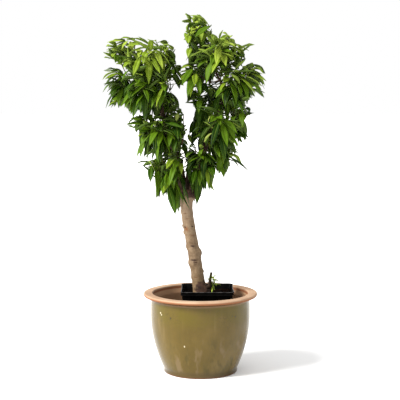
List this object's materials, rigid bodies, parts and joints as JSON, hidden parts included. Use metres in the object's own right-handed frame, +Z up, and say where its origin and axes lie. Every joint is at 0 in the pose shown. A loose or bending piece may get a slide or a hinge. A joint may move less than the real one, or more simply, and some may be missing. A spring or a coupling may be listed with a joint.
{
  "type": "potted nectarine tree",
  "caption": "Dwarf nectarine tree with a leaning trunk that forks low into leafy boughs, in a square nursery pot standing inside a round glazed pot with a bare clay rim.",
  "frame": {"origin": "middle of the glazed pot's flat underside, where it stands on the floor", "axes": "+Z up; +X to the right in the view where the trunk's top leans to the left; -Y towards the viewer there"},
  "size_m": [0.4801, 0.36, 1.1242],
  "materials": {
    "glaze": "glossy olive glaze with a bare tan clay rim and inside",
    "black_plastic": "thin satin black plastic",
    "soil": "dark, damp, crumbly potting mix",
    "bark": "smooth tan-grey bark with pruning scars",
    "foliage": "satin green leaves on thin green-brown twigs"
  },
  "bodies": {
    "root": {"glazed_pot": "glaze", "nursery_pot": "black_plastic", "soil": "soil", "trunk": "bark", "left_bough": "bark", "right_bough": "bark", "right_leader": "bark", "bare_twig": "bark", "basal_shoot": "foliage", "left_low_west": "foliage", "left_low_front": "foliage", "left_low_back": "foliage", "left_middle_front": "foliage", "left_middle_west": "foliage", "left_middle_back": "foliage", "left_middle_east": "foliage", "left_top_outer": "foliage", "left_top_front": "foliage", "left_top_back": "foliage", "left_top_west": "foliage", "left_top_east": "foliage", "right_low_front": "foliage", "right_low_east": "foliage", "right_low_back": "foliage", "right_middle_front": "foliage", "right_middle_east": "foliage", "right_middle_back": "foliage", "right_middle_west": "foliage", "right_upper_front": "foliage", "right_upper_back": "foliage", "right_upper_side": "foliage", "right_top_low": "foliage", "right_top_front": "foliage", "right_top_back": "foliage", "right_top_high": "foliage", "right_top_side": "foliage"}
  },
  "joints": []
}
